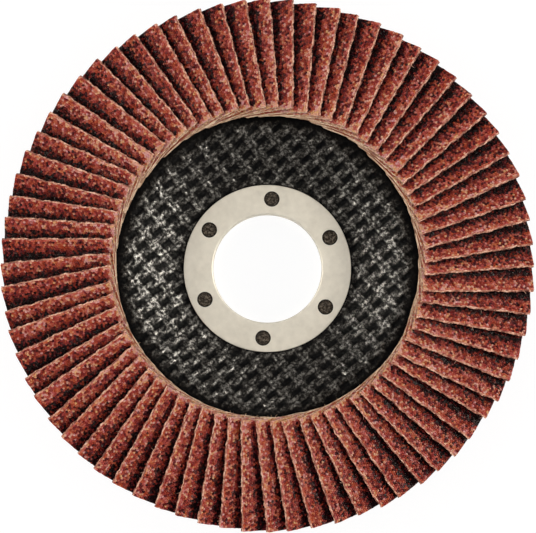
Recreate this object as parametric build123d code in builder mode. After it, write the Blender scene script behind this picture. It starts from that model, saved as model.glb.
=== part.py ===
from build123d import *
from math import asin, cos, degrees, pi, radians, sin, sqrt, tan
import os

# Conical flap disc with a depressed hub. It lies on the rear face of its hub with the
# working side up: z = 0 is that face, and the origin is the centre of the bore there.
# Sizes are in millimetres and angles in degrees.

# Arbor ring: a pressed steel washer whose collar lines the bore
bore_radius = 11.15
collar_wall = 0.5
collar_lip_round = 0.4
ring_radius = 17.25
ring_thickness = 0.6
ring_proud = 0.1
ring_edge_round = 0.12
ring_hole_count = 6
ring_hole_inner_web = 1.12
ring_hole_outer_web = 1.28
ring_first_hole = 86.4
boss_sunk = 0.12

# Backing plate: a moulded glass laminate of even thickness, bent at its hub and its crest
plate_thickness = 2.9
plate_rim_radius = 52.5
plate_bend_radius = 5.0
plate_rim_round = 0.7
plate_rim_lift = 0.37
hub_bend_margin = 1.95
cone_angle = 10.0
crest_width = 2.5

# Weave of the laminate, which shows on the dish as rows of pits between the strands
weave_turn = 41.0
weave_row_pitch = 2.9
weave_cross_pitch = 4.1
pit_length = 2.3
pit_width = 1.1
pit_depth = 0.25

# Flaps: curved strips of abrasive cloth that lean clockwise over one another
flap_count = 72
flaps_per_node = 2
flap_thickness = 0.95
flap_width = 15.5
flap_inner_radius = 31.1
flap_overhang = 2.5
flap_root_slope = 50.0
flap_clearance = 0.18
free_edge_offset = 5.2
glue_line = 0.3

# Adhesive: the epoxy bed that holds the flap roots
bed_thickness = 1.8
bed_setback = 0.3

# The ring's holes fill the width that their two webs leave between the collar and the edge
collar_radius = bore_radius + collar_wall
ring_holes_inside = collar_radius + ring_hole_inner_web
ring_holes_outside = ring_radius - ring_hole_outer_web
ring_hole_radius = (ring_holes_outside - ring_holes_inside) / 2
ring_hole_circle_radius = (ring_holes_outside + ring_holes_inside) / 2

# The plate's middle line, from the bore over the hub bend and the crest to the rim
hub_middle = plate_thickness / 2
hub_bend_corner = ring_radius + hub_bend_margin
crest_radius = flap_inner_radius - crest_width
rim_middle = hub_middle + plate_rim_lift
crest_middle = rim_middle + (plate_rim_radius - crest_radius) * tan(radians(cone_angle))
plate_line = [
    (collar_radius, hub_middle),
    (hub_bend_corner, hub_middle),
    (crest_radius, crest_middle),
    (plate_rim_radius, rim_middle),
]
recess_floor = plate_thickness + ring_proud - ring_thickness
ring_front = plate_thickness + ring_proud

# The flap's arc. Its free edge is as flat as the next flap's thickness lets it lie.
flap_tip_radius = plate_rim_radius + flap_overhang
inner_pitch = 2 * pi * flap_inner_radius / flap_count
flap_edge_slope = degrees(asin((flap_thickness + flap_clearance) / inner_pitch))
flap_sweep = flap_root_slope - flap_edge_slope
flap_bend_radius = flap_width / radians(flap_sweep)
flap_under_radius = flap_bend_radius - flap_thickness / 2
flap_top_radius = flap_bend_radius + flap_thickness / 2
flap_centre = (
    -free_edge_offset - flap_under_radius * sin(radians(flap_edge_slope)),
    glue_line - flap_under_radius * cos(radians(flap_root_slope)),
)
flap_root_offset = flap_centre[0] + flap_bend_radius * sin(radians(flap_root_slope))
flap_edge_height = flap_centre[1] + flap_under_radius * cos(radians(flap_edge_slope))
flap_start = sqrt(flap_inner_radius**2 - flap_root_offset**2)
flap_end = sqrt(flap_tip_radius**2 - free_edge_offset**2)
flap_lean_out = flap_edge_height * sin(radians(cone_angle))
flap_length = (flap_end - flap_start - flap_lean_out) / cos(radians(cone_angle))


def cone_front(radius):
    """Height of the plate's front face on the cone that carries the flaps."""
    crest_front = crest_middle + plate_thickness / 2 / cos(radians(cone_angle))
    return crest_front - (radius - crest_radius) * tan(radians(cone_angle))


def plate_curve(lift):
    """Line beside the plate's middle line, lifted from it towards the front."""
    corners = [Vector(*point) for point in plate_line]
    normals = [(b - a).normalized().rotate(Axis.Z, 90) for a, b in zip(corners, corners[1:])]
    lifted = [
        corner + (before + after) * (lift / (1 + before.dot(after)))
        for corner, before, after in zip(corners, normals[:1] + normals, normals + normals[-1:])
    ]
    return FilletPolyline(*lifted, radius=[plate_bend_radius - lift, plate_bend_radius + lift])


def plate_section(low, high):
    """Half section of the layer of the plate that lies between two lifts."""
    with BuildSketch(Plane.XZ) as section:
        with BuildLine():
            rear = plate_curve(low)
            front = plate_curve(high)
            Line(rear @ 0, front @ 0)
            Line(rear @ 1, front @ 1)
        make_face()
    return section.sketch


def pit_planes(plate):
    """Planes on the dish at the middles of the pits, from its hub bend to its crest."""
    strand = Vector(cos(radians(weave_turn)), sin(radians(weave_turn)), 0)
    pit_reach = sqrt(pit_length**2 + pit_width**2) / 2
    columns = 2 * int(crest_radius / weave_cross_pitch) + 1
    rows = 2 * int(crest_radius / weave_row_pitch) + 1
    planes = []
    for place in GridLocations(weave_cross_pitch, weave_row_pitch, columns, rows):
        if hub_bend_corner + pit_reach < place.position.length < crest_radius:
            upward = Axis(place.position.rotate(Axis.Z, weave_turn), (0, 0, 1))
            middle, normal = plate.find_intersection_points(upward)[-1]
            planes.append(Plane(origin=middle, x_dir=strand, z_dir=normal))
    return planes


def flap_plane(number):
    """Plane across a flap's inner end: x runs round the disc and z out along the cone."""
    turn = number * 360 / flap_count
    inner_end = Vector(flap_start, 0, cone_front(flap_start))
    outward = Vector(cos(radians(cone_angle)), 0, -sin(radians(cone_angle)))
    return Plane(
        origin=inner_end.rotate(Axis.Z, turn),
        x_dir=Vector(0, 1, 0).rotate(Axis.Z, turn),
        z_dir=outward.rotate(Axis.Z, turn),
    )


def flap_section(plane):
    """Section across a flap, from its steep root to its flatter free edge."""
    root_angle = 90 - flap_root_slope
    with BuildSketch(plane) as section:
        with BuildLine():
            top = CenterArc(flap_centre, flap_top_radius, root_angle, flap_sweep)
            under = CenterArc(flap_centre, flap_under_radius, root_angle, flap_sweep)
            Line(top @ 0, under @ 0)
            Line(top @ 1, under @ 1)
        make_face()
    return section.sketch


def save(piece, name):
    """Label a finished piece and write it to its own file."""
    piece.part.label = name
    export_step(piece.part, f"parts/{name}.step")


os.makedirs("parts", exist_ok=True)

# Backing plate, with a recess for the ring, resin in each of its holes, and the pits of its weave
with BuildPart() as backing_plate:
    revolve(plate_section(-plate_thickness / 2, plate_thickness / 2), axis=Axis.Z)
    rim_edges = backing_plate.edges().filter_by(GeomType.CIRCLE).sort_by(SortBy.RADIUS)[-2:]
    fillet(rim_edges, plate_rim_round)
    with BuildSketch(Plane.XY.offset(recess_floor)):
        Circle(ring_radius)
    extrude(amount=ring_thickness, mode=Mode.SUBTRACT)
    with BuildSketch(Plane.XY.offset(recess_floor)):
        with PolarLocations(ring_hole_circle_radius, ring_hole_count, start_angle=ring_first_hole):
            Circle(ring_hole_radius)
    extrude(amount=ring_thickness - boss_sunk)
    with BuildSketch(*pit_planes(backing_plate.part)):
        Rectangle(pit_length, pit_width)
    extrude(amount=pit_depth, both=True, mode=Mode.SUBTRACT)
save(backing_plate, "backing_plate")

# Arbor ring, inlaid in the front of the hub
with BuildPart() as arbor_ring:
    with BuildSketch(Plane.XY.offset(recess_floor)):
        Circle(ring_radius)
    extrude(amount=ring_thickness)
    with BuildSketch(Plane.XY):
        Circle(collar_radius)
    extrude(amount=ring_front)
    fillet(arbor_ring.edges().group_by(Axis.Z)[-1], ring_edge_round)
    with BuildSketch(Plane.XY):
        Circle(bore_radius)
    extrude(amount=ring_front, mode=Mode.SUBTRACT)
    fillet(arbor_ring.edges().group_by(Axis.Z)[-1].sort_by(SortBy.RADIUS)[0], collar_lip_round)
    with BuildSketch(Plane.XY.offset(recess_floor)):
        with PolarLocations(ring_hole_circle_radius, ring_hole_count, start_angle=ring_first_hole):
            Circle(ring_hole_radius)
    extrude(amount=ring_thickness, mode=Mode.SUBTRACT)
save(arbor_ring, "arbor_ring")

# Flaps, each its own solid, two neighbours to a file
flaps = []
for first in range(0, flap_count, flaps_per_node):
    with BuildPart() as flap_pair:
        for number in range(first, min(first + flaps_per_node, flap_count)):
            extrude(flap_section(flap_plane(number)), amount=flap_length)
    flaps.extend(flap_pair.part.solids())
    save(flap_pair, f"flap_pair_{first // flaps_per_node + 1:02d}")

# Adhesive, a ring on the cone with a slot where each flap's root stands in it
bed_inner = flap_inner_radius + bed_setback
bed_outer = plate_rim_radius - bed_setback
bed_rise = bed_thickness / cos(radians(cone_angle))

with BuildPart() as adhesive:
    with BuildSketch(Plane.XZ):
        with BuildLine():
            Polyline(
                (bed_inner, cone_front(bed_inner)),
                (bed_outer, cone_front(bed_outer)),
                (bed_outer, cone_front(bed_outer) + bed_rise),
                (bed_inner, cone_front(bed_inner) + bed_rise),
                close=True,
            )
        make_face()
    revolve(axis=Axis.Z)
    add(flaps, mode=Mode.SUBTRACT)
save(adhesive, "adhesive")
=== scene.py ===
"""Looks of the flap disc: grit and cut cloth on the flaps, woven glass on the plate, and its ring."""

from math import asin, cos, degrees, pi, radians, sin, sqrt, tan

import bpy
import numpy as np
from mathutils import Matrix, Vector


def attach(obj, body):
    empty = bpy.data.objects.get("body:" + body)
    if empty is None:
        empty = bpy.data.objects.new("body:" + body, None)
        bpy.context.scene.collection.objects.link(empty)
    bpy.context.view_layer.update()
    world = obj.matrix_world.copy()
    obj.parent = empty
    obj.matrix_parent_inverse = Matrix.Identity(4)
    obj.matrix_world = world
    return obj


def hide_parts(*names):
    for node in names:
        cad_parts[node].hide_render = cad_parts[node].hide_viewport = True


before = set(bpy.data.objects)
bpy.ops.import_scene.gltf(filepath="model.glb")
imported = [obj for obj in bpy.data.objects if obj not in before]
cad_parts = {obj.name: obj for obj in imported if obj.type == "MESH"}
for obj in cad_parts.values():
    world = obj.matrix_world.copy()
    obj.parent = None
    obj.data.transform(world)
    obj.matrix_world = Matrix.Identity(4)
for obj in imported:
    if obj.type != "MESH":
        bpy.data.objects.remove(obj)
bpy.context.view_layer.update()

# Lengths are in millimetres and angles in degrees. Meshes are written in metres.
MM = 0.001

# Sizes that the finish shares with the solids
RING_RADIUS = 17.25
RING_THICKNESS = 0.6
RING_PROUD = 0.1
RING_HOLE_COUNT = 6
RING_HOLE_INNER_WEB = 1.12
RING_HOLE_OUTER_WEB = 1.28
RING_FIRST_HOLE = 86.4
BOSS_SUNK = 0.12
COLLAR_RADIUS = 11.65
PLATE_THICKNESS = 2.9
PLATE_RIM_RADIUS = 52.5
PLATE_BEND_RADIUS = 5.0
PLATE_RIM_ROUND = 0.7
PLATE_RIM_LIFT = 0.37
HUB_BEND_MARGIN = 1.95
CONE_ANGLE = 10.0
CREST_WIDTH = 2.5
WEAVE_TURN = 41.0
WEAVE_ROW_PITCH = 2.9
WEAVE_CROSS_PITCH = 4.1
PIT_LENGTH = 2.3
PIT_WIDTH = 1.1
PIT_DEPTH = 0.25
FLAP_COUNT = 72
FLAPS_PER_NODE = 2
FLAP_THICKNESS = 0.95
FLAP_WIDTH = 15.5
FLAP_INNER_RADIUS = 31.1
FLAP_OVERHANG = 2.5
FLAP_ROOT_SLOPE = 50.0
FLAP_CLEARANCE = 0.18
FREE_EDGE_OFFSET = 5.2
GLUE_LINE = 0.3
BED_SETBACK = 0.3

# The ring's holes, the plate's middle line and the flap's arc, worked out as the solids have them
RING_HOLES_INSIDE = COLLAR_RADIUS + RING_HOLE_INNER_WEB
RING_HOLES_OUTSIDE = RING_RADIUS - RING_HOLE_OUTER_WEB
RING_HOLE_RADIUS = (RING_HOLES_OUTSIDE - RING_HOLES_INSIDE) / 2
RING_HOLE_CIRCLE_RADIUS = (RING_HOLES_OUTSIDE + RING_HOLES_INSIDE) / 2
HUB_MIDDLE = PLATE_THICKNESS / 2
HUB_BEND_CORNER = RING_RADIUS + HUB_BEND_MARGIN
CREST_RADIUS = FLAP_INNER_RADIUS - CREST_WIDTH
RIM_MIDDLE = HUB_MIDDLE + PLATE_RIM_LIFT
CREST_MIDDLE = RIM_MIDDLE + (PLATE_RIM_RADIUS - CREST_RADIUS) * tan(radians(CONE_ANGLE))
RECESS_FLOOR = PLATE_THICKNESS + RING_PROUD - RING_THICKNESS
BED_INNER = FLAP_INNER_RADIUS + BED_SETBACK
FLAP_TIP_RADIUS = PLATE_RIM_RADIUS + FLAP_OVERHANG
INNER_PITCH = 2 * pi * FLAP_INNER_RADIUS / FLAP_COUNT
RIM_PITCH = 2 * pi * FLAP_TIP_RADIUS / FLAP_COUNT
FLAP_EDGE_SLOPE = degrees(asin((FLAP_THICKNESS + FLAP_CLEARANCE) / INNER_PITCH))
FLAP_BEND_RADIUS = FLAP_WIDTH / radians(FLAP_ROOT_SLOPE - FLAP_EDGE_SLOPE)
FLAP_UNDER_RADIUS = FLAP_BEND_RADIUS - FLAP_THICKNESS / 2
FLAP_CENTRE = (
    -FREE_EDGE_OFFSET - FLAP_UNDER_RADIUS * sin(radians(FLAP_EDGE_SLOPE)),
    GLUE_LINE - FLAP_UNDER_RADIUS * cos(radians(FLAP_ROOT_SLOPE)),
)
FLAP_ROOT_OFFSET = FLAP_CENTRE[0] + FLAP_BEND_RADIUS * sin(radians(FLAP_ROOT_SLOPE))
FLAP_EDGE_HEIGHT = FLAP_CENTRE[1] + FLAP_UNDER_RADIUS * cos(radians(FLAP_EDGE_SLOPE))
FLAP_START = sqrt(FLAP_INNER_RADIUS**2 - FLAP_ROOT_OFFSET**2)
FLAP_END = sqrt(FLAP_TIP_RADIUS**2 - FREE_EDGE_OFFSET**2)
FLAP_LEAN_OUT = FLAP_EDGE_HEIGHT * sin(radians(CONE_ANGLE))
FLAP_LENGTH = (FLAP_END - FLAP_START - FLAP_LEAN_OUT) / cos(radians(CONE_ANGLE))

# How far one flap differs from the next
FLAP_SEED = 400
TURN_SPREAD = 0.16
TURN_LIMIT = 0.28
SLIDE_MEAN = 0.1
SLIDE_SPREAD = 0.16
SLIDE_LIMITS = (-0.24, 0.3)
SKEW_SPREAD = 0.009
END_SPREAD = 0.18

# Waves along a flap's edge, as (height, length)
EDGE_WAVES = [(0.065, 7.3), (0.04, 3.1), (0.03, 1.7)]
CUT_WAVES = [(0.05, 5.1), (0.04, 2.3), (0.03, 1.1)]
STAIN_WAVES = [(0.26, 6.7), (0.20, 2.9), (0.17, 1.3)]

# Grit: a facetted lump in each cell of a shaken honeycomb, in rows from the free edge back to where
# the next flap hides them. The shake and the size of a lump's top are shares of its cell.
CLOTH_THICKNESS = 0.62
COAT_THICKNESS = 0.08
COAT_TOP = CLOTH_THICKNESS + COAT_THICKNESS
GRAIN_PITCH = 0.52
GRAIN_ROW_HEIGHT = GRAIN_PITCH * sqrt(3) / 2
GRAIN_ROWS = 13
GRAIN_CELLS = round(FLAP_LENGTH / GRAIN_PITCH)
GRAIN_SHAKE = 0.16
GRAIN_HEIGHT = (0.05, 0.25)
GRAIN_HEIGHT_SHARES = (0.45, 1.0, 1.0)
GRAIN_LEAST_HEIGHT = 0.02
GRAIN_TOP = (0.42, 0.74)
GRAIN_TOP_UNEVEN = (0.85, 1.12)
GRAIN_TILT = 0.28
VALLEY_SPREAD = 0.05
EDGE_RISE = (-0.02, 0.16)

# Tones of one grain, from 0 for dark to 1 for pale: the shape of the beta distribution that its own
# tone is drawn from, the range by which its sides differ, and how much paler its top is
GRAIN_TONE_SHAPE = 1.6
GRAIN_SIDE_TONE = (-0.12, 0.08)
GRAIN_TOP_TONE = 0.04

# How the grit's tone follows its place. A pair holds for a flap's inner end and its rim end.
# WORN_ENDS are (tone, reach) from the inner end. The slot is where the next flap's edge lies, and there
# the grit is darkened as painted shade.
GRAIN_TONE = (0.11, 0.0165)
# The next two values make the grit paler along the free edge: (at the inner end, at the rim) and its reach.
FREE_EDGE_PALER_TONE = (0.34, 0.204)
FREE_EDGE_PALER_REACH = 0.42
WORN_ENDS = [(0.12, 3.0), (0.5, 1.2)]
SLOT_PAINTED_SHADE = (0.42, 0.61)
SLOT_START = 0.38
SLOT_FULL = 0.80
SLOT_FADE = 1.4
COVER_SHARE = 1.12
SHOWN_WIDTH = (3.7, 6.0)

# Cut sides of a flap: how far they stray from a straight cut, and their tones
FRAY = 0.12
EDGE_RAGGED = 0.05
CUT_RAGGED = 0.03
CUT_UNEVEN = 0.04
END_RAGGED = 0.09
CUT_TONE = (0.54, 0.38)
CUT_TONE_SPREAD = 0.3
COAT_EDGE_TONE = (0.45, 0.95)
END_TONE = (0.1, 1.34)
END_COAT_DARKER = 0.1
# Painted shade on the flaps' cut ends, darker further back from the free edge and lower down: how much, and
# where
ENDS_PAINTED_SHADE = 0.26
ENDS_PAINTED_SHADE_BACK = (2.5, 8.5)

# The part of a flap that the next one hides, and its underside
HIDDEN_LINES = 6
HIDDEN_RISE = 0.15
HIDDEN_TONE = 0.82
HIDDEN_BACK = np.linspace(GRAIN_ROWS * GRAIN_ROW_HEIGHT, FLAP_WIDTH, HIDDEN_LINES + 1)[1:]
UNDERSIDE_COLUMNS = 12
UNDERSIDE_OUT = np.linspace(0, FLAP_LENGTH, UNDERSIDE_COLUMNS + 1)
UNDERSIDE_TONE = 0.35

# Loose threads at the cut ends and along the free edges
THREADS_PER_FLAP = 10
THREAD_RADIUS = 0.045
THREAD_TAPER = 0.75
THREAD_LENGTH = (0.35, 1.3)
RIM_THREAD_LENGTH = 0.3
THREAD_STEPS = 5
THREAD_SIDES = 4
THREAD_BEND = 0.5
THREAD_TONE = (0.5, 1.0)
THREAD_DEPTH = 0.1
INNER_END_SHARE = 0.5
FREE_EDGE_SHARE = 0.35

# Steps of the plate's mesh, and the rounding of its small edges
ROUND_DIVISIONS = 684
FRONT_STEP = 0.25
REAR_STEP = 0.75
RIM_STEP = 0.8
HIDDEN_STEP = 4.0
LEAST_ARC_PARTS = 3
BORE_EDGE_ROUND = 0.1
RECESS_EDGE_ROUND = 0.08
COLLAR_EDGE_ROUND = 0.05

# Weave of the plate. Strands sway by (depth, reach, phase) waves. A row lies a little higher than a
# cross strand on average, and the crimp lifts and sinks both. A crown is 1. FACING is how squarely
# a face looks forwards or backwards where it is woven.
REAR_WEAVE_SCALE = 1.6
ROW_SWAY = [(0.14, 4.3, 0.0), (0.07, 1.7, 2.0)]
CROSS_SWAY = [(0.16, 3.1, 0.7), (0.08, 1.3, 0.0)]
STRAND_FULLNESS = 0.62
ROW_LEVEL = 0.64
CROSS_LEVEL = 0.58
CRIMP = 0.36
FACING = 0.5

# Radii where the weave starts and where it is full, and where the flat land by the ring ends. Towards the
# flaps the fading crown also darkens the plate's colour: partly the crest's own black resin and partly
# painted shade beside the flaps.
FRONT_WEAVE_INNER = (RING_RADIUS + 0.05, RING_RADIUS + 0.35)
FRONT_WEAVE_OUTER = (FLAP_INNER_RADIUS, FLAP_INNER_RADIUS - 2.2)
REAR_WEAVE_INNER = (COLLAR_RADIUS + 0.4, COLLAR_RADIUS + 1.4)
REAR_WEAVE_OUTER = (PLATE_RIM_RADIUS - 0.8, PLATE_RIM_RADIUS - 1.8)
LAND_EDGE = (HUB_BEND_CORNER, HUB_BEND_CORNER + 2.0)
LAND_PRESSED = 0.90

# Resin in a hole of the ring, as rings of points from its foot to its middle: share of the hole's
# radius, drop from the top, and tone of the band that starts there. The tones paint shade by the hole's
# wall and a highlight in its middle.
BOSS_SEED = 70
BOSS_DIVISIONS = 28
BOSS_FOOT = 0.2
BOSS_RINGS = [
    (1.0, RING_THICKNESS - BOSS_SUNK + BOSS_FOOT, 0.4),
    (1.0, 0.12, 0.5),
    (0.94, 0.04, 0.75),
    (0.8, 0.0, 0.95),
    (0.6, 0.0, 1.0),
    (0.4, 0.0, 1.0),
    (0.2, 0.0, 1.0),
]
BOSS_LUMPS = (-0.2, 0.06)
BOSS_MIDDLE_DROP = 0.05

# Colours of the cut cloth from dark to pale, along the flaps' edges and at their inner ends
CLOTH_STOPS = (0.0, 0.4, 0.75, 1.0)
EDGE_COLOURS = [(0.16, 0.045, 0.03), (0.42, 0.165, 0.105), (0.66, 0.34, 0.225), (0.84, 0.53, 0.385)]
END_COLOURS = [(0.17, 0.075, 0.045), (0.35, 0.195, 0.115), (0.53, 0.34, 0.21), (0.74, 0.54, 0.37)]

# Numbers of the materials in a flap's mesh and in the plate's mesh
GRIT, CLOTH, ENDS = 0, 1, 2
WEAVE, BOSS = 0, 1

# Camera, with its distance and target in metres
PHOTO_WIDTH = 536
PIXELS_PER_MM = 4.87
CAMERA_DISTANCE = 3.0
CAMERA_ELEVATION = 86.35
CAMERA_TARGET = Vector((0.00012, -0.00021, 0.0126))

# Lamps as (name, azimuth, watts), with their distance and size in metres. Azimuth 0 is the
# photograph's right and 90 its top.
LAMPS = [("right_lamp", 8, 78.0), ("left_lamp", 172, 50.0)]
LAMP_ELEVATION = 38
LAMP_DISTANCE = 1.0
LAMP_SIZE = 0.16
LAMP_COLOUR = (1.0, 0.93, 0.81)

# Light of the world by the sine of the height above the horizon
WORLD_LEVELS = [(0.0, 1.2), (0.25, 2.1), (0.45, 2.75), (0.6, 1.4), (0.72, 0.2), (1.0, 0.02)]

# Floor, with its sizes in metres
FLOOR_REACH = 4.0
FLOOR_DROP = 0.00002
FLOOR_GREY = 0.8
FLOOR_GLOW = 0.885
FLOOR_SHADED_GREY = 0.17


def cone_front(radius):
    """Height of the plate's front face on the cone that carries the flaps."""
    crest_front = CREST_MIDDLE + PLATE_THICKNESS / 2 / cos(radians(CONE_ANGLE))
    return crest_front - (radius - CREST_RADIUS) * tan(radians(CONE_ANGLE))


def between(limits, share):
    """A value that goes evenly from its first limit to its second."""
    return limits[0] + (limits[1] - limits[0]) * share


def ease(value, zero_at, one_at):
    """A value that rises gently from 0 at one place to 1 at another."""
    share = np.clip((value - zero_at) / (one_at - zero_at), 0, 1)
    return share * share * (3 - 2 * share)


def waves_at(along, waves, phases):
    """A sum of (height, length) waves at places along an edge."""
    total = 0 * along
    for (height, length), phase in zip(waves, phases):
        total = total + height * np.sin(2 * pi * along / length + phase)
    return total


def wander(random, along, waves):
    """The same sum with phases drawn at random."""
    return waves_at(along, waves, random.uniform(0, 2 * pi, len(waves)))


class Surface:
    """Points and faces gathered for one mesh, with a material, a tone and a tint for each face."""

    def __init__(self, place=np.stack):
        self.place = place
        self.points = []
        self.total = 0
        self.faces = []
        self.tint = 0.5

    def add(self, *coordinates):
        """Store points from their three coordinates and return their numbers in the same shape."""
        first, second, third = np.broadcast_arrays(*coordinates)
        placed = self.place([first.ravel(), second.ravel(), third.ravel()])
        self.points.append(np.asarray(placed, float).T)
        numbers = self.total + np.arange(first.size).reshape(first.shape)
        self.total += first.size
        return numbers

    def skin(self, corners, material, tone=0.5):
        """Store faces from the numbers of their corners, all with as many corners."""
        tones = np.broadcast_to(tone, corners.shape[:-1]).ravel()
        corners = corners.reshape(-1, corners.shape[-1])
        count = len(corners)
        self.faces.append((corners, np.full(count, material), tones, np.full(count, self.tint)))

    def grid(self, first, second, material, tone=0.5):
        """Store a band of quads between two lines of as many points."""
        corners = np.stack([first[:-1], first[1:], second[1:], second[:-1]], axis=-1)
        self.skin(corners, material, tone)

    def fan(self, ring, middle, material, tone=0.5):
        """Store triangles from a ring of points to one in its middle."""
        corners = np.stack([ring, np.roll(ring, -1), np.full(len(ring), middle)], axis=-1)
        self.skin(corners, material, tone)

    def bridge(self, first, second, material, tone=0.5, flip=False):
        """Store a band of triangles between two lines with different numbers of points."""
        triangles = []
        i = j = 0
        while i < len(first) - 1 or j < len(second) - 1:
            ahead_first = (i + 1) / (len(first) - 1)
            ahead_second = (j + 1) / (len(second) - 1)
            if j == len(second) - 1 or (i < len(first) - 1 and ahead_first <= ahead_second):
                triangles.append((first[i], first[i + 1], second[j]))
                i += 1
            else:
                triangles.append((first[i], second[j + 1], second[j]))
                j += 1
        triangles = np.array(triangles)
        self.skin(triangles[:, ::-1] if flip else triangles, material, tone)

    def make(self, name, materials, smooth_faces=False):
        """Write the mesh and its object."""
        mesh = bpy.data.meshes.new(name)
        points = np.concatenate(self.points) * MM
        loops = np.concatenate([corners.ravel() for corners, *_ in self.faces])
        sizes = np.concatenate([np.full(len(corners), corners.shape[1]) for corners, *_ in self.faces])
        mesh.vertices.add(len(points))
        mesh.vertices.foreach_set("co", points.ravel())
        mesh.loops.add(len(loops))
        mesh.loops.foreach_set("vertex_index", loops)
        mesh.polygons.add(len(sizes))
        mesh.polygons.foreach_set("loop_start", np.cumsum(sizes) - sizes)
        mesh.polygons.foreach_set("material_index", np.concatenate([face[1] for face in self.faces]))
        mesh.update(calc_edges=True)
        for title, column in [("tone", 2), ("tint", 3)]:
            values = np.concatenate([face[column] for face in self.faces])
            layer = mesh.attributes.new(title, "FLOAT", "FACE")
            layer.data.foreach_set("value", values.astype(np.float32))
        mesh.polygons.foreach_set("use_smooth", np.full(len(sizes), smooth_faces))
        for material in materials:
            mesh.materials.append(material)
        piece = bpy.data.objects.new(name, mesh)
        bpy.context.scene.collection.objects.link(piece)
        return piece


# Materials. Textures lie in object space, so noise scales are per metre and bumps are in metres.


class Nodes:
    """The shader nodes of a material or the world, made and linked by short calls."""

    def __init__(self, owner):
        owner.use_nodes = True
        self.nodes = owner.node_tree.nodes
        self.links = owner.node_tree.links

    def feed(self, socket, value):
        """Give a socket a number, a colour or another node's output."""
        if isinstance(value, bpy.types.NodeSocket):
            self.links.new(value, socket)
        elif isinstance(value, tuple):
            socket.default_value = (*value, 1)
        else:
            socket.default_value = value

    def set(self, title, value):
        """Feed an input of the principled shader."""
        self.feed(self.nodes["Principled BSDF"].inputs[title], value)

    def object_place(self):
        """Where a point lies in object space."""
        return self.nodes.new("ShaderNodeTexCoord").outputs["Object"]

    def attribute(self, name):
        """The value that the mesh holds under a name."""
        reader = self.nodes.new("ShaderNodeAttribute")
        reader.attribute_name = name
        return reader.outputs["Fac"]

    def noise(self, scale, detail, roughness=0.55, place=None):
        """A noise texture, in object space unless a place is given."""
        texture = self.nodes.new("ShaderNodeTexNoise")
        self.feed(texture.inputs["Scale"], scale)
        self.feed(texture.inputs["Detail"], detail)
        self.feed(texture.inputs["Roughness"], roughness)
        self.feed(texture.inputs["Vector"], self.object_place() if place is None else place)
        return texture.outputs["Fac"]

    def fibres(self, turn):
        """Fine noise drawn out along one direction of the weave."""
        mapping = self.nodes.new("ShaderNodeMapping")
        mapping.vector_type = "TEXTURE"
        mapping.inputs["Rotation"].default_value = (0, 0, radians(turn))
        mapping.inputs["Scale"].default_value = (7, 1, 1)
        self.feed(mapping.inputs["Vector"], self.object_place())
        return self.noise(scale=7000, detail=2, roughness=0.6, place=mapping.outputs["Vector"])

    def math(self, operation, *values):
        """A math node whose inputs are sockets or numbers."""
        node = self.nodes.new("ShaderNodeMath")
        node.operation = operation
        for socket, value in zip(node.inputs, values):
            self.feed(socket, value)
        return node.outputs[0]

    def product(self, *factors):
        """The product of sockets and numbers."""
        result = factors[0]
        for factor in factors[1:]:
            result = self.math("MULTIPLY", result, factor)
        return result

    def ramp(self, factor, stops):
        """A colour ramp with (position, colour) stops, where a lone number is a grey."""
        node = self.nodes.new("ShaderNodeValToRGB")
        elements = node.color_ramp.elements
        while len(elements) < len(stops):
            elements.new(0.5)
        for element, (position, colour) in zip(elements, stops):
            element.position = position
            element.color = (*colour, 1) if isinstance(colour, tuple) else (colour, colour, colour, 1)
        self.feed(node.inputs["Fac"], factor)
        return node.outputs["Color"]

    def mix(self, factor, first, second, blend="MIX"):
        """A colour mix whose inputs are sockets, colours or numbers."""
        node = self.nodes.new("ShaderNodeMix")
        node.data_type = "RGBA"
        node.blend_type = blend
        self.feed(node.inputs[0], factor)
        self.feed(node.inputs[6], first)
        self.feed(node.inputs[7], second)
        return node.outputs[2]

    def bump(self, height, strength, distance):
        """Fine relief from a height."""
        node = self.nodes.new("ShaderNodeBump")
        self.feed(node.inputs["Strength"], strength)
        self.feed(node.inputs["Distance"], distance)
        self.feed(node.inputs["Height"], height)
        self.set("Normal", node.outputs["Normal"])


def new_material(name):
    """A principled material and its nodes."""
    material = bpy.data.materials.new(name)
    return material, Nodes(material)


def grit_material():
    """Red-brown abrasive grain under a resin size coat."""
    material, look = new_material("abrasive_grit")
    patches = look.noise(scale=420, detail=2)
    specks = look.noise(scale=6500, detail=2, roughness=0.7)
    hues = look.noise(scale=1100, detail=2, roughness=0.6)
    shade = look.math("MULTIPLY_ADD", look.attribute("tint"), 0.16, look.attribute("tone"))
    shade = look.math("MULTIPLY_ADD", patches, 0.3, shade)
    shade = look.math("SUBTRACT", shade, 0.23)
    colour = look.ramp(shade, [
        (0.0, (0.014, 0.003, 0.004)),
        (0.18, (0.085, 0.010, 0.012)),
        (0.38, (0.27, 0.026, 0.020)),
        (0.62, (0.49, 0.070, 0.038)),
        (0.86, (0.63, 0.175, 0.108)),
        (1.0, (0.78, 0.40, 0.27)),
    ])
    speck_colour = look.ramp(specks, [(0.3, (0.35, 0.30, 0.32)), (0.7, (1.0, 1.0, 1.0))])
    colour = look.mix(0.45, colour, speck_colour, "MULTIPLY")
    hue_colour = look.ramp(hues, [(0.36, (1.0, 1.06, 0.66)), (0.64, (0.93, 0.88, 1.30))])
    colour = look.mix(1.0, colour, hue_colour, "MULTIPLY")
    look.set("Base Color", colour)
    look.set("Roughness", look.ramp(specks, [(0.3, 0.34), (0.75, 0.6)]))
    look.set("Specular IOR Level", look.ramp(specks, [(0.52, 0.013), (0.78, 0.26)]))
    look.bump(specks, strength=0.5, distance=0.00006)
    return material


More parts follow.
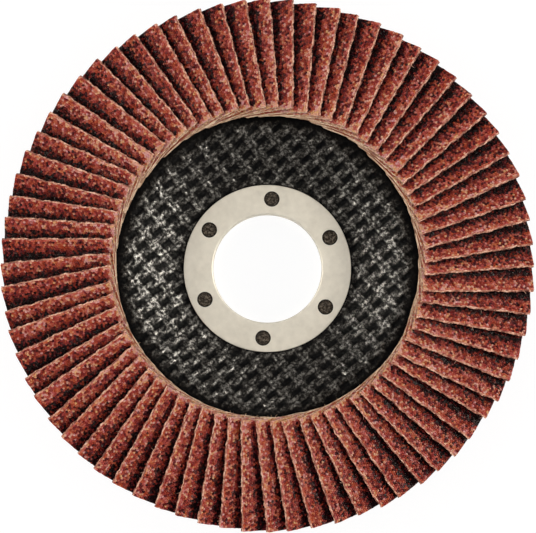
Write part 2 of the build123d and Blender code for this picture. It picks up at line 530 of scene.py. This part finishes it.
def cloth_material(name, colours):
    """Polyester cloth, cut across its threads and stained by the coat."""
    material, look = new_material(name)
    threads = look.noise(scale=3200, detail=2, roughness=0.6)
    stains = look.noise(scale=700, detail=3)
    shade = look.math("MULTIPLY_ADD", stains, 0.55, look.attribute("tone"))
    shade = look.math("MULTIPLY_ADD", threads, 0.45, shade)
    shade = look.math("SUBTRACT", shade, 0.5)
    look.set("Base Color", look.ramp(shade, list(zip(CLOTH_STOPS, colours))))
    look.set("Roughness", 0.85)
    look.set("Specular IOR Level", 0.1)
    look.set("Sheen Weight", 0.04)
    look.bump(threads, strength=0.6, distance=0.0001)
    return material


def glass_material():
    """Black resin over woven glass, whose strands shine and show grey where they are crowned and bare."""
    material, look = new_material("glass_laminate_look")
    crown = look.attribute("crown")
    rows = look.fibres(WEAVE_TURN)
    crosses = look.fibres(WEAVE_TURN + 90)
    strand = look.mix(look.attribute("on_row"), crosses, rows)
    patches = look.noise(scale=260, detail=3)
    spots = look.noise(scale=1900, detail=3, roughness=0.68)
    bare = look.ramp(spots, [(0.44, 0.05), (0.62, 1.35)])
    raised = look.math("MAXIMUM", look.math("POWER", crown, 2.4), 0.04)
    shine = look.product(raised, patches, strand, bare)
    strand_level = look.math("MULTIPLY_ADD", strand, 0.7, 0.55)
    bare_level = look.math("MULTIPLY_ADD", bare, 0.42, 0.26)
    look.set("Base Color", look.ramp(look.product(crown, strand_level, bare_level), [
        (0.0, (0.0025, 0.0025, 0.003)),
        (0.16, (0.011, 0.010, 0.009)),
        (0.36, (0.050, 0.045, 0.038)),
        (0.70, (0.13, 0.12, 0.10)),
    ]))
    look.set("Roughness", look.ramp(shine, [(0.0, 0.55), (0.12, 0.30)]))
    look.set("Specular IOR Level", look.ramp(shine, [(0.0, 0.006), (0.05, 0.072), (0.2, 0.49)]))
    look.bump(look.math("ADD", strand, spots), strength=0.6, distance=0.00016)
    return material


def boss_material():
    """Dark brown resin, lumpy, with painted shade darkest by the ring and a painted highlight in the
    middle.
    """
    material, look = new_material("boss_resin")
    lumps = look.noise(scale=2400, detail=3, roughness=0.65)
    look.set("Base Color", look.ramp(look.product(look.attribute("tone"), lumps), [
        (0.32, (0.010, 0.007, 0.004)),
        (0.48, (0.045, 0.031, 0.019)),
        (0.62, (0.21, 0.165, 0.12)),
    ]))
    look.set("Roughness", 0.42)
    look.set("Specular IOR Level", 0.03)
    look.bump(lumps, strength=0.7, distance=0.0004)
    return material


def steel_material():
    """Dull zinc on pressed steel."""
    material, look = new_material("zinc_steel_look")
    mottle = look.noise(scale=900, detail=4, roughness=0.6)
    cloud = look.noise(scale=150, detail=2)
    shade = look.math("MULTIPLY_ADD", mottle, 0.5, look.math("MULTIPLY", cloud, 0.5))
    look.set("Base Color", look.ramp(shade, [
        (0.3, (0.622, 0.586, 0.503)),
        (0.7, (0.746, 0.710, 0.617)),
    ]))
    look.set("Metallic", 0.06)
    look.set("Specular IOR Level", 0.14)
    look.set("Roughness", look.ramp(mottle, [(0.3, 0.50), (0.7, 0.64)]))
    look.bump(mottle, strength=0.15, distance=0.00005)
    return material


def epoxy_material():
    """Tan filled epoxy."""
    material, look = new_material("epoxy_look")
    lumps = look.noise(scale=900, detail=4, roughness=0.6)
    look.set("Base Color", look.ramp(lumps, [(0.3, (0.34, 0.19, 0.10)), (0.7, (0.62, 0.40, 0.23))]))
    look.set("Roughness", 0.5)
    look.bump(lumps, strength=0.5, distance=0.0003)
    return material


# Flaps. A flap's own coordinates are back from its free edge, out along it and up from its underside.


class FlapPlace:
    """Turns a flap's own coordinates into the disc's, with the small ways in which it differs."""

    def __init__(self, number, random):
        turned = np.clip(random.normal(0, TURN_SPREAD), -TURN_LIMIT, TURN_LIMIT)
        slid = np.clip(random.normal(0, SLIDE_SPREAD), *SLIDE_LIMITS)
        self.turn = radians(number * 360 / FLAP_COUNT + turned)
        self.slide = SLIDE_MEAN + slid
        self.skew = random.normal(0, SKEW_SPREAD)
        self.inner_shift = random.uniform(-END_SPREAD, END_SPREAD)
        self.outer_shift = -random.uniform(0, 2 * END_SPREAD)
        self.phases = random.uniform(0, 2 * pi, len(EDGE_WAVES))

    def __call__(self, coordinates):
        back, out, up = coordinates
        edge_shift = self.slide + self.skew * (out - FLAP_LENGTH / 2)
        edge_shift = edge_shift + waves_at(out, EDGE_WAVES, self.phases)
        back = back + edge_shift * (1 - back / FLAP_WIDTH)
        out = out + between((self.inner_shift, self.outer_shift), out / FLAP_LENGTH)
        angle = radians(90 - FLAP_EDGE_SLOPE) - back / FLAP_BEND_RADIUS
        reach = FLAP_UNDER_RADIUS + up
        across = FLAP_CENTRE[0] + reach * np.cos(angle)
        height = FLAP_CENTRE[1] + reach * np.sin(angle)
        lean = radians(CONE_ANGLE)
        radial = FLAP_START + out * cos(lean) + height * sin(lean)
        z = cone_front(FLAP_START) - out * sin(lean) + height * cos(lean)
        x = radial * cos(self.turn) - across * sin(self.turn)
        y = radial * sin(self.turn) + across * cos(self.turn)
        return [x, y, z]


def honeycomb(random):
    """Back and out coordinates of the grain cells' corners, one row of corners to a line."""
    line = np.arange(GRAIN_ROWS + 1)[:, None]
    column = np.arange(2 * GRAIN_CELLS + 1)[None, :]
    back = line * GRAIN_ROW_HEIGHT + GRAIN_ROW_HEIGHT / 6 * (-1.0) ** (line + column)
    out = column * FLAP_LENGTH / (2 * GRAIN_CELLS) + 0 * back
    shake = random.uniform(-1, 1, (2, *back.shape)) * GRAIN_SHAKE * GRAIN_PITCH
    back = back + shake[0]
    out = out + shake[1]
    back[-1] = GRAIN_ROWS * GRAIN_ROW_HEIGHT
    back[0] = 0
    out[:, 0] = 0
    out[:, -1] = FLAP_LENGTH
    return back, out


def cell_corners():
    """Line and column numbers of each cell's corners: whole cells with six, half cells with four."""
    whole, half = [], []
    last = 2 * GRAIN_CELLS
    for row in range(GRAIN_ROWS):
        start = row % 2
        for first in range(start, last - 1, 2):
            near = [(row, first), (row, first + 1), (row, first + 2)]
            far = [(row + 1, first + 2), (row + 1, first + 1), (row + 1, first)]
            whole.append(near + far)
        if start:
            for first in (0, last - 1):
                half.append([(row, first), (row, first + 1), (row + 1, first + 1), (row + 1, first)])
    return np.array(whole), np.array(half)


def grain_tones(back, out, random):
    """Tones of grains by their place: paler along the free edge and where worn at the inner end, and
    darkened by painted shade in the slot under the next flap's edge.
    """
    outward = out / FLAP_LENGTH
    tone = random.beta(GRAIN_TONE_SHAPE, GRAIN_TONE_SHAPE, out.shape) + between(GRAIN_TONE, outward)
    tone = tone + between(FREE_EDGE_PALER_TONE, outward) * np.exp(-back / FREE_EDGE_PALER_REACH)
    for paler, reach in WORN_ENDS:
        tone = tone + paler * ease(out, reach, 0)
    covered_at = between((INNER_PITCH, RIM_PITCH), outward) * COVER_SHARE
    # Painted shade: the grit darkens in the slot where the next flap's edge overhangs it.
    slot = ease(back / covered_at, SLOT_START, SLOT_FULL) * ease(out, 0, SLOT_FADE)
    return tone - slot * between(SLOT_PAINTED_SHADE, outward)


def raise_grains(surface, lattice, corners, random):
    """A facetted lump in each cell, or a plain point where the next flap hides it."""
    back, out, numbers = lattice
    lines, columns = corners[..., 0], corners[..., 1]
    cell_back, cell_out = back[lines, columns], out[lines, columns]
    rim = numbers[lines, columns]
    centre_back = cell_back.mean(1, keepdims=True)
    centre_out = cell_out.mean(1, keepdims=True)
    count, sides = lines.shape
    height = random.uniform(*GRAIN_HEIGHT, (count, 1)) * random.choice(GRAIN_HEIGHT_SHARES, (count, 1))
    tone = grain_tones(centre_back, centre_out, random)
    seen = (centre_back < between(SHOWN_WIDTH, centre_out / FLAP_LENGTH))[:, 0]

    share = random.uniform(*GRAIN_TOP, (count, 1)) * random.uniform(*GRAIN_TOP_UNEVEN, (count, sides))
    top_back = centre_back + share * (cell_back - centre_back)
    top_out = centre_out + share * (cell_out - centre_out)
    tilt = random.normal(0, GRAIN_TILT, (2, count, 1))
    top_up = COAT_TOP + height + tilt[0] * (top_back - centre_back) + tilt[1] * (top_out - centre_out)
    top_up = np.clip(top_up, COAT_TOP + GRAIN_LEAST_HEIGHT, FLAP_THICKNESS)
    top = surface.add(top_back[seen], top_out[seen], top_up[seen])
    around = np.roll(rim[seen], -1, axis=1)
    lump_sides = np.stack([rim[seen], around, np.roll(top, -1, axis=1), top], axis=-1)
    side_tone = tone[seen] + random.uniform(*GRAIN_SIDE_TONE, (len(top), sides))
    surface.skin(lump_sides, GRIT, side_tone)
    surface.skin(top, GRIT, tone[seen][:, 0] + GRAIN_TOP_TONE)

    peak = surface.add(centre_back[~seen], centre_out[~seen], COAT_TOP + height[~seen])
    around = np.roll(rim[~seen], -1, axis=1)
    slopes = np.stack([rim[~seen], around, np.broadcast_to(peak, around.shape)], axis=-1)
    surface.skin(slopes, GRIT, tone[~seen])


def flap_sides(surface, lattice, plain, line_back, random):
    """Lines of points on each of a flap's four sides, from its coat down to its underside."""
    back, out, numbers = lattice
    sides = {
        "free": [numbers[0]],
        "root": [plain[-1]],
        "inner": [np.concatenate([numbers[:, 0], plain[:, 0]])],
        "outer": [np.concatenate([numbers[:, -1], plain[:, -1]])],
    }
    for level in (CLOTH_THICKNESS, CLOTH_THICKNESS / 2, 0.0):
        fray = FRAY * (1 - level / CLOTH_THICKNESS)
        free_back = back[0] - fray + CUT_RAGGED * random.uniform(-1, 1, back.shape[1])
        free_back = free_back - (1 - level / COAT_TOP) * wander(random, out[0], CUT_WAVES)
        free_up = level + CUT_UNEVEN * random.uniform(-1, 1, back.shape[1]) * (level > 0)
        free = surface.add(free_back, out[0], free_up)
        root = surface.add(FLAP_WIDTH, UNDERSIDE_OUT, level)
        sides["free"].append(free)
        sides["root"].append(root)
        for name, column, along, outward in [("inner", 0, 0.0, -1), ("outer", -1, FLAP_LENGTH, 1)]:
            ragged = along + outward * END_RAGGED * random.uniform(-1, 1, len(line_back) - 2)
            middle = surface.add(line_back[1:-1], ragged, level)
            sides[name].append(np.concatenate([free[[column]], middle, root[[column]]]))
    return sides


def skin_sides(surface, sides, along, line_back, random):
    """Coat over cloth on each side of a flap, with a tone for each bundle of threads."""
    for level in range(3):
        low = level + 1
        is_coat = level == 0
        material = GRIT if is_coat else CLOTH
        cut_tone = between(CUT_TONE, along / FLAP_LENGTH) + wander(random, along, STAIN_WAVES)
        cut_tone = cut_tone + random.uniform(-CUT_TONE_SPREAD, CUT_TONE_SPREAD, len(along))
        coat_tone = random.uniform(*COAT_EDGE_TONE, len(along))
        end_tone = random.uniform(*END_TONE, len(line_back) - 1) - END_COAT_DARKER * is_coat
        # Painted shade: the cut ends darken further back from the free edge, down towards the plate.
        end_tone = end_tone - ENDS_PAINTED_SHADE * ease(line_back[1:], *ENDS_PAINTED_SHADE_BACK)
        surface.grid(sides["free"][low], sides["free"][level], material, coat_tone if is_coat else cut_tone)
        surface.grid(sides["root"][low][::-1], sides["root"][level][::-1], material)
        surface.grid(sides["inner"][low][::-1], sides["inner"][level][::-1], ENDS, end_tone)
        surface.grid(sides["outer"][low], sides["outer"][level], material, end_tone)


def add_flap(surface, random):
    """One closed flap: grit on its top, cloth below, and the layers showing at its cut sides."""
    back, out = honeycomb(random)
    back[0] += EDGE_RAGGED * random.uniform(-1, 1, back.shape[1])
    up = COAT_TOP + random.uniform(-VALLEY_SPREAD, VALLEY_SPREAD, back.shape)
    up[0] = COAT_TOP + random.uniform(*EDGE_RISE, back.shape[1])
    lattice = (back, out, surface.add(back, out, up))
    for corners in cell_corners():
        raise_grains(surface, lattice, corners, random)

    plain = surface.add(HIDDEN_BACK[:, None], UNDERSIDE_OUT[None, :], COAT_TOP + HIDDEN_RISE)
    surface.bridge(lattice[2][-1], plain[0], GRIT, HIDDEN_TONE)
    for near, far in zip(plain, plain[1:]):
        surface.grid(near, far, GRIT, HIDDEN_TONE)

    line_back = np.concatenate([back[:, 0], HIDDEN_BACK])
    sides = flap_sides(surface, lattice, plain, line_back, random)
    skin_sides(surface, sides, out[0][1:], line_back, random)

    inside = surface.add(line_back[1:-1, None], UNDERSIDE_OUT[None, 1:-1], 0.0)
    left = sides["inner"][-1][1:-1, None]
    right = sides["outer"][-1][1:-1, None]
    under = np.concatenate([left, inside, right], axis=1)
    under = np.concatenate([under, sides["root"][-1][None]])
    surface.bridge(sides["free"][-1], under[0], CLOTH, UNDERSIDE_TONE, flip=True)
    for near, far in zip(under, under[1:]):
        surface.grid(far, near, CLOTH, UNDERSIDE_TONE)


def add_thread(surface, material, start, direction, length, random):
    """A loose thread: a thin bent tube with a pointed end, in the flap's own coordinates."""
    bend = random.normal(0, THREAD_BEND, 3)
    line = [np.array(start)]
    for step in range(THREAD_STEPS):
        direction = direction + bend / THREAD_STEPS
        direction = direction / np.linalg.norm(direction)
        line.append(line[-1] + direction * length / THREAD_STEPS)
    line = np.array(line)
    off_the_line = [0.3, 0.5, 0.8]
    side = np.cross(direction, off_the_line)
    side /= np.linalg.norm(side)
    other = np.cross(direction, side)
    turn = np.arange(THREAD_SIDES) * 2 * pi / THREAD_SIDES
    ring = np.cos(turn)[:, None] * side + np.sin(turn)[:, None] * other
    width = THREAD_RADIUS * np.linspace(1.0, THREAD_TAPER, THREAD_STEPS)
    points = line[:-1, None] + ring[None] * width[:, None, None]
    tube = surface.add(points[..., 0], points[..., 1], points[..., 2])
    tip = surface.add(*line[-1])
    tone = random.uniform(*THREAD_TONE)
    for near, far in zip(tube, tube[1:]):
        surface.grid(np.append(near, near[0]), np.append(far, far[0]), material, tone)
    surface.fan(tube[-1], tip, material, tone)
    surface.skin(tube[0][::-1][None], material, tone)


def add_threads(surface, random):
    """Loose threads: most at the inner end, some along the free edge and a few at the rim."""
    for _ in range(THREADS_PER_FLAP):
        length = random.uniform(*THREAD_LENGTH)
        height = random.uniform(THREAD_DEPTH, CLOTH_THICKNESS)
        where = random.uniform()
        if where < INNER_END_SHARE:
            material = ENDS
            start = (random.uniform(0.1, 4.5), THREAD_DEPTH, height)
            direction = np.array([random.normal(0, 0.8), -1.0, random.normal(0, 0.5)])
        elif where < INNER_END_SHARE + FREE_EDGE_SHARE:
            material = CLOTH
            start = (0.08, random.uniform(0.5, FLAP_LENGTH - 0.5), height)
            direction = np.array([-0.6, random.normal(0, 1.2), random.normal(0, 0.3)])
        else:
            material = CLOTH
            start = (random.uniform(0.1, 5.0), FLAP_LENGTH - THREAD_DEPTH, height)
            direction = np.array([random.normal(0, 0.8), 0.5, random.normal(0, 0.3)])
            length = RIM_THREAD_LENGTH
        add_thread(surface, material, start, direction, length, random)


def make_flaps(materials):
    """Every pair of flaps, in the place of its node."""
    for pair in range(FLAP_COUNT // FLAPS_PER_NODE):
        random = np.random.default_rng(FLAP_SEED + pair)
        surface = Surface()
        for number in range(pair * FLAPS_PER_NODE, (pair + 1) * FLAPS_PER_NODE):
            surface.place = FlapPlace(number, random)
            surface.tint = random.uniform()
            add_flap(surface, random)
            add_threads(surface, random)
        name = f"flap_pair_{pair + 1:02d}"
        piece = surface.make(f"{name}_cloth", materials)
        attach(piece, "root")
        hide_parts(name)


# Plate


def lifted_corners(lift):
    """Corners of a line beside the plate's middle line, from the bore to the rim."""
    line = np.array([
        (COLLAR_RADIUS, HUB_MIDDLE),
        (HUB_BEND_CORNER, HUB_MIDDLE),
        (CREST_RADIUS, CREST_MIDDLE),
        (PLATE_RIM_RADIUS, RIM_MIDDLE),
    ])
    runs = np.diff(line, axis=0)
    runs /= np.linalg.norm(runs, axis=1, keepdims=True)
    normals = np.stack([-runs[:, 1], runs[:, 0]], axis=1)
    before = np.concatenate([normals[:1], normals])
    after = np.concatenate([normals, normals[-1:]])
    return line + (before + after) * lift / (1 + (before * after).sum(1, keepdims=True))


def plate_outline():
    """The plate's section as (corner, rounding, step of the run after it), from the bore's rear edge."""
    rear = lifted_corners(-PLATE_THICKNESS / 2)
    front = lifted_corners(PLATE_THICKNESS / 2)
    inside = PLATE_BEND_RADIUS - PLATE_THICKNESS / 2
    outside = PLATE_BEND_RADIUS + PLATE_THICKNESS / 2
    return [
        (rear[0], BORE_EDGE_ROUND, REAR_STEP),
        (rear[1], outside, REAR_STEP),
        (rear[2], inside, REAR_STEP),
        (rear[3], PLATE_RIM_ROUND, RIM_STEP),
        (front[3], PLATE_RIM_ROUND, HIDDEN_STEP),
        (np.array([BED_INNER, cone_front(BED_INNER)]), 0, FRONT_STEP),
        (front[2], outside, FRONT_STEP),
        (front[1], inside, FRONT_STEP),
        (np.array([RING_RADIUS, PLATE_THICKNESS]), RECESS_EDGE_ROUND, HIDDEN_STEP),
        (np.array([RING_RADIUS, RECESS_FLOOR]), RECESS_EDGE_ROUND, HIDDEN_STEP),
        (np.array([COLLAR_RADIUS, RECESS_FLOOR]), COLLAR_EDGE_ROUND, HIDDEN_STEP),
    ]


def rounded_corner(previous, corner, following, rounding, step):
    """Points of the arc that rounds a corner, or the corner alone where its rounding is 0."""
    if rounding == 0:
        return corner[None]
    before = (previous - corner) / np.linalg.norm(previous - corner)
    after = (following - corner) / np.linalg.norm(following - corner)
    half = np.arccos(np.clip(before @ after, -1, 1)) / 2
    centre = corner + (before + after) / np.linalg.norm(before + after) * rounding / sin(half)
    start = corner + before * rounding / tan(half) - centre
    end = corner + after * rounding / tan(half) - centre
    sweep = pi - 2 * half
    parts = max(LEAST_ARC_PARTS, round(sweep * rounding / step))
    share = np.linspace(0, 1, parts + 1)[:, None]
    turned = start * np.sin((1 - share) * sweep) + end * np.sin(share * sweep)
    return centre + turned / sin(sweep)


def bent_line(outline):
    """Points of a closed line through rounded corners, each run with its own step."""
    corners = [corner for corner, _, _ in outline]
    following = corners[1:] + corners[:1]
    arcs = []
    for i, (corner, rounding, step) in enumerate(outline):
        finer = min(step, outline[i - 1][2])
        arcs.append(rounded_corner(corners[i - 1], corner, following[i], rounding, finer))
    points = []
    for arc, arc_ahead, (_, _, step) in zip(arcs, arcs[1:] + arcs[:1], outline):
        run = arc_ahead[0] - arc[-1]
        parts = max(1, round(np.linalg.norm(run) / step))
        share = np.linspace(0, 1, parts + 1)[1:-1, None]
        points += [arc, arc[-1] + run * share]
    return np.concatenate(points)


def sway(place, along, waves):
    """Places shifted sideways by the waves of the strands that run along them."""
    for depth, reach, phase in waves:
        place = place + depth * np.sin(along / reach + phase)
    return place


def strands(across, pitch, pit):
    """Where a point lies among strands laid in pairs between the pits: its body and its strand's number."""
    middle = (pitch + pit) / 4
    width = (pitch - pit) / 2
    pair = np.round(across / pitch)
    offset = across - pair * pitch
    beyond = np.maximum(np.abs(offset) - middle, 0) / (pitch - 2 * middle)
    number = 2 * pair + 0.5 + np.clip(offset / middle, -1, 1) / 2 + np.sign(offset) * beyond
    aside = (np.abs(offset) - middle) / (STRAND_FULLNESS * width)
    body = np.sqrt(np.clip(1 - aside**2, 0, 1))
    return body, number


def weave(x, y, scale):
    """Relief of the weave, 0 in its pits and 1 on its crowns, and where its rows lie on top."""
    turn = radians(WEAVE_TURN)
    along = (x * cos(turn) + y * sin(turn)) / scale
    across = (-x * sin(turn) + y * cos(turn)) / scale
    along = sway(along, across, CROSS_SWAY)
    across = sway(across, along, ROW_SWAY)
    row_body, row = strands(across, WEAVE_ROW_PITCH, PIT_WIDTH)
    cross_body, cross = strands(along, WEAVE_CROSS_PITCH, PIT_LENGTH)
    row_over = np.cos(pi * (cross + np.round(row)))
    cross_under = np.cos(pi * (row + np.round(cross)))
    rows = row_body * (ROW_LEVEL + CRIMP * row_over)
    crosses = cross_body * (CROSS_LEVEL - CRIMP * cross_under)
    return np.maximum(rows, crosses), rows > crosses


def plate_weave(radius, turn, facing):
    """How deep the weave sinks the plate's face, how crowned it is there, and where a row is on top."""
    x, y = radius * np.cos(turn), radius * np.sin(turn)
    sides = [(facing > FACING) & (radius > RING_RADIUS), facing < -FACING]
    front_relief, front_row = weave(x, y, 1.0)
    rear_relief, rear_row = weave(x, -y, REAR_WEAVE_SCALE)
    front_fade = ease(radius, *FRONT_WEAVE_INNER) * ease(radius, *FRONT_WEAVE_OUTER)
    rear_fade = ease(radius, *REAR_WEAVE_INNER) * ease(radius, *REAR_WEAVE_OUTER)
    front_sunk = PIT_DEPTH * front_fade * (1 - front_relief)
    rear_sunk = PIT_DEPTH / 2 * rear_fade * (1 - rear_relief)
    pressed = between((LAND_PRESSED, 1.0), ease(radius, *LAND_EDGE))
    sunk = np.select(sides, [front_sunk, rear_sunk])
    # The crown fades towards the flaps and darkens the colour there: the crest's black resin, and painted
    # shade.
    crown = np.select(sides, [front_relief * front_fade * pressed, rear_relief * rear_fade])
    return sunk, crown, np.where(sides[0], front_row, rear_row)


def make_plate(materials):
    """The woven plate, lofted round its section, with the resin that fills the ring's holes."""
    section = bent_line(plate_outline())
    ahead = np.roll(section, -1, axis=0) - np.roll(section, 1, axis=0)
    ahead /= np.linalg.norm(ahead, axis=1, keepdims=True)
    outward = np.stack([ahead[:, 1], -ahead[:, 0]], axis=1)
    turn = np.linspace(0, 2 * pi, ROUND_DIVISIONS, endpoint=False)[None, :]
    radius, z = section[:, :1], section[:, 1:]
    sunk, crown, on_row = plate_weave(radius, turn, outward[:, 1:])
    moved_radius = radius - outward[:, :1] * sunk
    moved_z = z - outward[:, 1:] * sunk

    surface = Surface()
    numbers = surface.add(moved_radius * np.cos(turn), moved_radius * np.sin(turn), moved_z)
    closed = np.concatenate([numbers, numbers[:, :1]], axis=1)
    for line, following in zip(closed, np.roll(closed, -1, axis=0)):
        surface.grid(line, following, WEAVE)
    for number in range(RING_HOLE_COUNT):
        add_boss(surface, number)
    piece = surface.make("woven_plate", materials, smooth_faces=True)
    for title, values in [("crown", crown), ("on_row", on_row)]:
        padded = np.zeros(surface.total, np.float32)
        padded[:values.size] = values.ravel()
        layer = piece.data.attributes.new(title, "FLOAT", "POINT")
        layer.data.foreach_set("value", padded)
    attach(piece, "root")
    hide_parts("backing_plate")


def add_boss(surface, number):
    """Resin standing in one of the ring's holes, with a lumpy top inside a level edge."""
    random = np.random.default_rng(BOSS_SEED + number)
    angle = radians(RING_FIRST_HOLE + number * 360 / RING_HOLE_COUNT)
    centre_x = RING_HOLE_CIRCLE_RADIUS * cos(angle)
    centre_y = RING_HOLE_CIRCLE_RADIUS * sin(angle)
    top = RECESS_FLOOR + RING_THICKNESS - BOSS_SUNK
    share, drop, tones = np.array(BOSS_RINGS).T
    turn = np.linspace(0, 2 * pi, BOSS_DIVISIONS, endpoint=False)
    lumps = random.uniform(*BOSS_LUMPS, (len(share), len(turn)))
    lumps[:2] = 0
    rings = surface.add(
        centre_x + share[:, None] * RING_HOLE_RADIUS * np.cos(turn),
        centre_y + share[:, None] * RING_HOLE_RADIUS * np.sin(turn),
        top - drop[:, None] + lumps,
    )
    middle = surface.add(centre_x, centre_y, top - BOSS_MIDDLE_DROP)
    closed = np.concatenate([rings, rings[:, :1]], axis=1)
    # Each band's tone paints shade by the hole's wall and a highlight towards its middle.
    for low, high, tone in zip(closed, closed[1:], tones):
        surface.grid(low, high, BOSS, tone)
    surface.fan(rings[-1], middle, BOSS, tones[-1])
    surface.skin(rings[0][::-1][None], BOSS)


# Scene


def make_camera():
    """A long lens that looks down on the working side, from a little below the photograph's middle."""
    camera = bpy.data.cameras.new("camera")
    holder = bpy.data.objects.new("camera", camera)
    bpy.context.scene.collection.objects.link(holder)
    rise = radians(CAMERA_ELEVATION)
    back = Vector((0, -cos(rise), sin(rise)))
    holder.location = CAMERA_TARGET + back * CAMERA_DISTANCE
    holder.rotation_euler = (-back).to_track_quat("-Z", "Y").to_euler()
    camera.lens = PIXELS_PER_MM / MM * CAMERA_DISTANCE / PHOTO_WIDTH * camera.sensor_width
    bpy.context.scene.camera = holder


def make_lamp(name, azimuth, power):
    """A square lamp that shows only as a gleam on gloss."""
    lamp = bpy.data.lights.new(name, "AREA")
    lamp.size = LAMP_SIZE
    lamp.energy = power
    lamp.color = LAMP_COLOUR
    holder = bpy.data.objects.new(name, lamp)
    bpy.context.scene.collection.objects.link(holder)
    turn, rise = radians(azimuth), radians(LAMP_ELEVATION)
    away = Vector((cos(turn) * cos(rise), sin(turn) * cos(rise), sin(rise)))
    holder.visible_diffuse = False
    holder.location = away * LAMP_DISTANCE
    holder.rotation_euler = away.to_track_quat("Z", "Y").to_euler()


def seen_directly(look):
    """1 for rays from the camera, from gloss and through glass."""
    path = look.nodes.new("ShaderNodeLightPath")
    either = look.math("MAXIMUM", path.outputs["Is Camera Ray"], path.outputs["Is Glossy Ray"])
    return look.math("MAXIMUM", either, path.outputs["Is Transmission Ray"])


def make_world():
    """White where it is seen, and soft light that comes from all round more than from above."""
    world = bpy.data.worlds.new("world")
    bpy.context.scene.world = world
    look = Nodes(world)
    height = look.nodes.new("ShaderNodeSeparateXYZ")
    look.feed(height.inputs[0], look.nodes.new("ShaderNodeTexCoord").outputs["Generated"])
    light = look.ramp(height.outputs["Z"], WORLD_LEVELS)
    sky = look.mix(seen_directly(look), light, (1.0, 1.0, 1.0))
    look.feed(look.nodes["Background"].inputs["Color"], sky)


def floor_material():
    """Plain pale grey to the disc, and to the camera a white glow that keeps a faint shadow."""
    material, look = new_material("floor")
    look.set("Base Color", (FLOOR_GREY, FLOOR_GREY, FLOOR_GREY))
    look.set("Roughness", 0.9)
    glow = look.nodes.new("ShaderNodeEmission")
    look.feed(glow.inputs["Strength"], FLOOR_GLOW)
    faint = look.nodes.new("ShaderNodeBsdfDiffuse")
    look.feed(faint.inputs["Color"], (FLOOR_SHADED_GREY, FLOOR_SHADED_GREY, FLOOR_SHADED_GREY))
    both = look.nodes.new("ShaderNodeAddShader")
    look.feed(both.inputs[0], glow.outputs[0])
    look.feed(both.inputs[1], faint.outputs[0])
    choice = look.nodes.new("ShaderNodeMixShader")
    look.feed(choice.inputs[0], seen_directly(look))
    look.feed(choice.inputs[1], look.nodes["Principled BSDF"].outputs[0])
    look.feed(choice.inputs[2], both.outputs[0])
    look.feed(look.nodes["Material Output"].inputs["Surface"], choice.outputs[0])
    return material


def make_floor():
    """A wide floor just under the disc."""
    mesh = bpy.data.meshes.new("floor")
    sides = [(-1, -1), (1, -1), (1, 1), (-1, 1)]
    corners = [(x * FLOOR_REACH, y * FLOOR_REACH, -FLOOR_DROP) for x, y in sides]
    mesh.from_pydata(corners, [], [(0, 1, 2, 3)])
    mesh.materials.append(floor_material())
    floor = bpy.data.objects.new("floor", mesh)
    bpy.context.scene.collection.objects.link(floor)


def dress_node(name, material):
    """Give a solid that stays as it is its finished material."""
    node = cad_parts[name]
    node.data.materials.clear()
    node.data.materials.append(material)


bpy.context.scene.view_settings.view_transform = "Standard"
edge_cloth = cloth_material("cut_cloth", EDGE_COLOURS)
end_cloth = cloth_material("cut_ends", END_COLOURS)
make_flaps([grit_material(), edge_cloth, end_cloth])
make_plate([glass_material(), boss_material()])
dress_node("arbor_ring", steel_material())
dress_node("adhesive", epoxy_material())
make_camera()
make_world()
for name, azimuth, power in LAMPS:
    make_lamp(name, azimuth, power)
make_floor()
